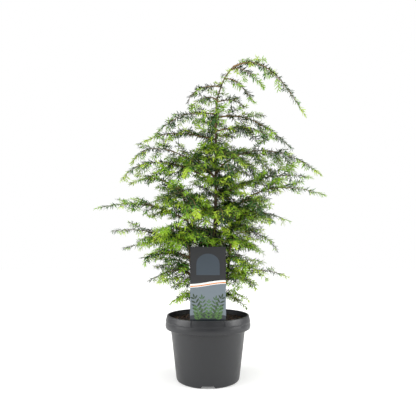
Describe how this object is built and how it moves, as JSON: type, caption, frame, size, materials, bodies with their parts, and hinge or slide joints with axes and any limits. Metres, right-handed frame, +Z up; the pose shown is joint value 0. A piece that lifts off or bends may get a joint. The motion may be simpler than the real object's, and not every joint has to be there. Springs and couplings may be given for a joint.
{
  "type": "potted eastern hemlock",
  "caption": "Young conifer with a nodding leader and arching sprays of short flat needles on slender boughs, in a round dark nursery pot with a plain label card.",
  "frame": {"origin": "on the floor under the middle of the pot, at the mount base", "axes": "+Z up along the trunk; -Y towards the front of the plant, where the label stands; +X to the right seen from there"},
  "size_m": [0.4596, 0.3224, 0.6456],
  "materials": {
    "pot": "anthracite polypropylene with a soft sheen",
    "soil": "moist dark potting soil with bark crumbs",
    "label": "printed plastic card, satin",
    "bark": "thin brown bark, finely fissured",
    "needles": "short flat needles, dark green with lime new growth"
  },
  "bodies": {
    "root": {"pot": "pot", "soil": "soil", "label": "label", "trunk": "bark", "stem_left": "bark", "stem_right": "bark", "bough_left_3": "bark", "bough_left_4": "bark", "bough_left_6": "bark", "bough_left_8": "bark", "bough_right_3": "bark", "bough_right_4": "bark", "bough_right_5": "bark", "bough_right_8": "bark", "bough_front_6": "bark", "bough_back_4": "bark", "bough_back_7": "bark", "foliage_leader": "needles", "foliage_crown_right": "needles", "foliage_crook_right": "needles", "foliage_crown_left": "needles", "foliage_high_right": "needles", "foliage_high_left": "needles", "foliage_left_1": "needles", "foliage_left_2": "needles", "foliage_left_3": "needles", "foliage_left_4": "needles", "foliage_left_5": "needles", "foliage_left_6": "needles", "foliage_left_7": "needles", "foliage_left_8": "needles", "foliage_left_9": "needles", "foliage_left_10": "needles", "foliage_left_11": "needles", "foliage_right_1": "needles", "foliage_right_2": "needles", "foliage_right_3": "needles", "foliage_right_4": "needles", "foliage_right_5": "needles", "foliage_right_6": "needles", "foliage_right_7": "needles", "foliage_right_8": "needles", "foliage_right_9": "needles", "foliage_front_1": "needles", "foliage_front_2": "needles", "foliage_front_3": "needles", "foliage_front_4": "needles", "foliage_front_5": "needles", "foliage_front_6": "needles", "foliage_front_7": "needles", "foliage_front_8": "needles", "foliage_back_1": "needles", "foliage_back_2": "needles", "foliage_back_3": "needles", "foliage_back_4": "needles", "foliage_back_5": "needles", "foliage_back_6": "needles", "foliage_back_7": "needles", "foliage_back_8": "needles", "foliage_back_9": "needles"}
  },
  "joints": []
}
